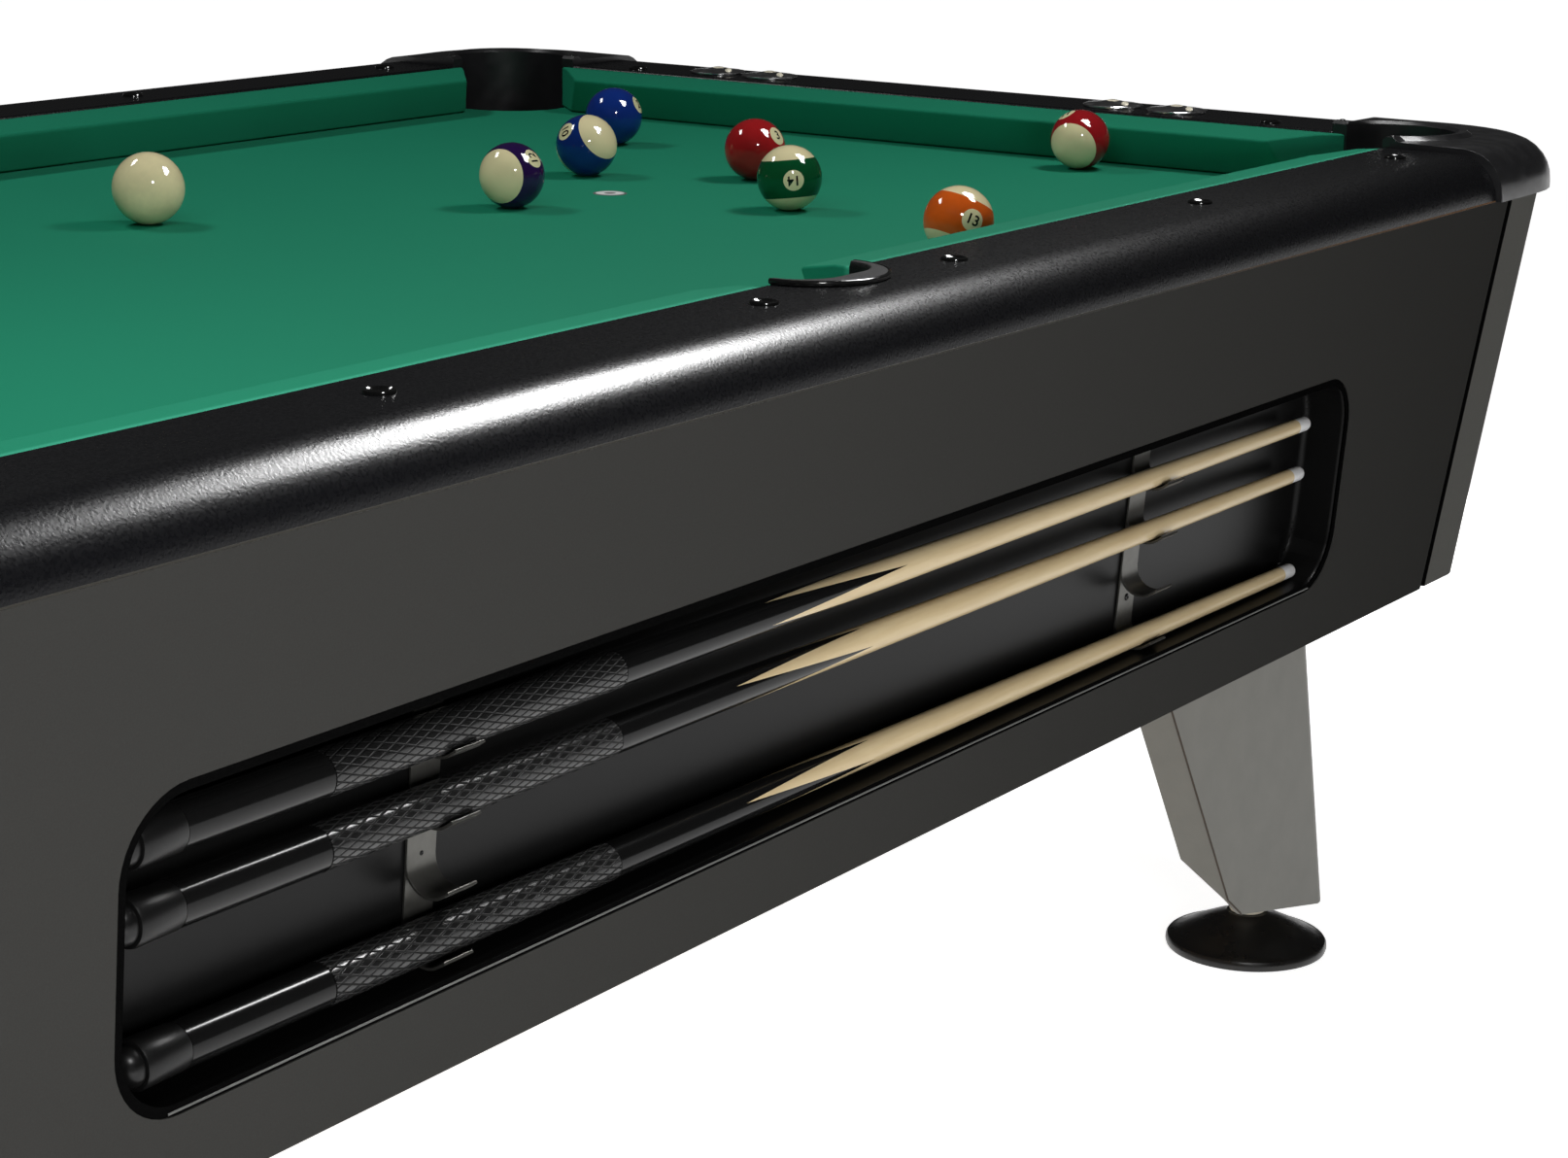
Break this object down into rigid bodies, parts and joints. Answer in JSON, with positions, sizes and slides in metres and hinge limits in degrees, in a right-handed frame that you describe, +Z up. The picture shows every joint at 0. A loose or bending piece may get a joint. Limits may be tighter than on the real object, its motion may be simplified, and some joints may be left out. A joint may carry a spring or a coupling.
{
  "type": "coin-operated pool table",
  "caption": "Bar pool table with a cloth-covered slate bed, black bullnose rails and pocket castings, a cue recess in one side, coin-released ball return and folded legs on screw feet.",
  "frame": {"origin": "on the floor under the centre of the table", "axes": "+X along the length towards the foot rail with the dials, +Y away from the cue recess, +Z up"},
  "size_m": [2.358, 1.335, 0.8236],
  "materials": {
    "panel_laminate": "dark grey satin laminate on board",
    "corner_trim": "dark grey, fine grain",
    "rail_laminate": "black pebbled laminate on timber",
    "corner_casting": "black satin coating",
    "pocket_liner": "black, rough grain",
    "cloth": "green napped cloth",
    "slate": "honed",
    "plywood": "bare",
    "moulded_tray": "black gloss moulding",
    "hook_steel": "dark grey sheet",
    "cue_maple": "lacquered",
    "leg_paint": "grey metallic paint",
    "foot_rubber": "black gloss",
    "galvanised_sheet": "galvanised",
    "chrome": "polished",
    "phenolic": "polished resin"
  },
  "bodies": {
    "table": {"front_side_panel": "panel_laminate", "back_side_panel": "panel_laminate", "foot_end_panel": "panel_laminate", "head_end_panel": "panel_laminate", "cabinet_floor": "plywood", "corner_post_front_foot": "corner_trim", "corner_post_back_foot": "corner_trim", "corner_post_front_head": "corner_trim", "corner_post_back_head": "corner_trim", "cue_tray": "moulded_tray", "hook_strip_butt": "hook_steel", "hook_strip_shaft": "hook_steel", "slate": "slate", "bed_cloth": "cloth", "slate_frame": "plywood", "front_rail": "rail_laminate", "back_rail": "rail_laminate", "foot_rail": "rail_laminate", "head_rail": "rail_laminate", "front_cushion_foot": "cloth", "front_cushion_head": "cloth", "back_cushion_foot": "cloth", "back_cushion_head": "cloth", "foot_cushion": "cloth", "head_cushion": "cloth", "corner_cap_front_foot": "corner_casting", "corner_cap_back_foot": "corner_casting", "corner_cap_front_head": "corner_casting", "corner_cap_back_head": "corner_casting", "side_pocket_front": "pocket_liner", "side_pocket_back": "pocket_liner", "leg_front_foot": "leg_paint", "leg_back_foot": "leg_paint", "leg_front_head": "leg_paint", "leg_back_head": "leg_paint", "ball_ramp": "galvanised_sheet", "ball_rack": "galvanised_sheet", "coin_mechanism": "chrome"},
    "cue_upper": {"cue_upper": "cue_maple"},
    "cue_middle": {"cue_middle": "cue_maple"},
    "cue_lower": {"cue_lower": "cue_maple"},
    "coin_slide": {"coin_slide": "chrome"},
    "release_gate": {"release_gate": "hook_steel"},
    "cash_drawer": {"cash_drawer": "galvanised_sheet"},
    "levelling_foot_front_foot": {"levelling_foot_front_foot": "foot_rubber"},
    "levelling_foot_back_foot": {"levelling_foot_back_foot": "foot_rubber"},
    "levelling_foot_front_head": {"levelling_foot_front_head": "foot_rubber"},
    "levelling_foot_back_head": {"levelling_foot_back_head": "foot_rubber"},
    "score_dial_1": {"score_dial_1": "chrome"},
    "score_dial_2": {"score_dial_2": "chrome"},
    "score_dial_3": {"score_dial_3": "chrome"},
    "score_dial_4": {"score_dial_4": "chrome"},
    "ball_cue": {"ball_cue": "phenolic"},
    "ball_02": {"ball_02": "phenolic"},
    "ball_03": {"ball_03": "phenolic"},
    "ball_10": {"ball_10": "phenolic"},
    "ball_11": {"ball_11": "phenolic"},
    "ball_12": {"ball_12": "phenolic"},
    "ball_13": {"ball_13": "phenolic"},
    "ball_14": {"ball_14": "phenolic"}
  },
  "joints": [
    {"name": "cue_upper_lift", "type": "slide", "parent": "table", "child": "cue_upper", "axis": [0.7071, -0.575, 0.4116], "range_m": [0, 0.0339]},
    {"name": "cue_middle_lift", "type": "slide", "parent": "table", "child": "cue_middle", "axis": [0, -0.8131, 0.5821], "range_m": [0, 0.03]},
    {"name": "cue_lower_lift", "type": "slide", "parent": "table", "child": "cue_lower", "axis": [0, -0.8131, 0.5821], "range_m": [0, 0.03]},
    {"name": "coin_push", "type": "slide", "parent": "table", "child": "coin_slide", "axis": [0, -0.997, 0.0768], "range_m": [0, 0.068]},
    {"name": "gate_swing", "type": "hinge", "parent": "table", "child": "release_gate", "pos_m": [-0.2, 0.55365, 0.54217], "axis": [0, 1, 0], "range_deg": [0, 75]},
    {"name": "cash_drawer_pull", "type": "slide", "parent": "table", "child": "cash_drawer", "axis": [0, 0.997, -0.0768], "range_m": [0, 0.13]},
    {"name": "foot_turn_front_foot", "type": "hinge", "parent": "table", "child": "levelling_foot_front_foot", "pos_m": [0.97628, -0.44266, 0], "axis": [0, 0, 1], "continuous": true},
    {"name": "foot_turn_back_foot", "type": "hinge", "parent": "table", "child": "levelling_foot_back_foot", "pos_m": [0.97628, 0.44266, 0], "axis": [0, 0, 1], "continuous": true},
    {"name": "foot_turn_front_head", "type": "hinge", "parent": "table", "child": "levelling_foot_front_head", "pos_m": [-0.97628, -0.44266, 0], "axis": [0, 0, 1], "continuous": true},
    {"name": "foot_turn_back_head", "type": "hinge", "parent": "table", "child": "levelling_foot_back_head", "pos_m": [-0.97628, 0.44266, 0], "axis": [0, 0, 1], "continuous": true},
    {"name": "dial_turn_1", "type": "hinge", "parent": "table", "child": "score_dial_1", "pos_m": [1.08875, -0.266, 0.8093], "axis": [0, 0, 1], "continuous": true},
    {"name": "dial_turn_2", "type": "hinge", "parent": "table", "child": "score_dial_2", "pos_m": [1.08875, -0.194, 0.8093], "axis": [0, 0, 1], "continuous": true},
    {"name": "dial_turn_3", "type": "hinge", "parent": "table", "child": "score_dial_3", "pos_m": [1.08875, 0.224, 0.8093], "axis": [0, 0, 1], "continuous": true},
    {"name": "dial_turn_4", "type": "hinge", "parent": "table", "child": "score_dial_4", "pos_m": [1.08875, 0.291, 0.8093], "axis": [0, 0, 1], "continuous": true},
    {"name": "ball_cue_lift", "type": "slide", "parent": "table", "child": "ball_cue", "axis": [0, 0, 1], "range_m": [0, 0.1]},
    {"name": "ball_02_lift", "type": "slide", "parent": "table", "child": "ball_02", "axis": [0, 0, 1], "range_m": [0, 0.1]},
    {"name": "ball_03_lift", "type": "slide", "parent": "table", "child": "ball_03", "axis": [0, 0, 1], "range_m": [0, 0.1]},
    {"name": "ball_10_lift", "type": "slide", "parent": "table", "child": "ball_10", "axis": [0, 0, 1], "range_m": [0, 0.1]},
    {"name": "ball_11_lift", "type": "slide", "parent": "table", "child": "ball_11", "axis": [0, 0, 1], "range_m": [0, 0.1]},
    {"name": "ball_12_lift", "type": "slide", "parent": "table", "child": "ball_12", "axis": [0, 0, 1], "range_m": [0, 0.1]},
    {"name": "ball_13_lift", "type": "slide", "parent": "table", "child": "ball_13", "axis": [0, 0, 1], "range_m": [0, 0.1]},
    {"name": "ball_14_lift", "type": "slide", "parent": "table", "child": "ball_14", "axis": [0, 0, 1], "range_m": [0, 0.1]}
  ],
  "couplings": [
    {"joint": "gate_swing", "follows": "coin_push", "rad_per_m": 19.2}
  ]
}
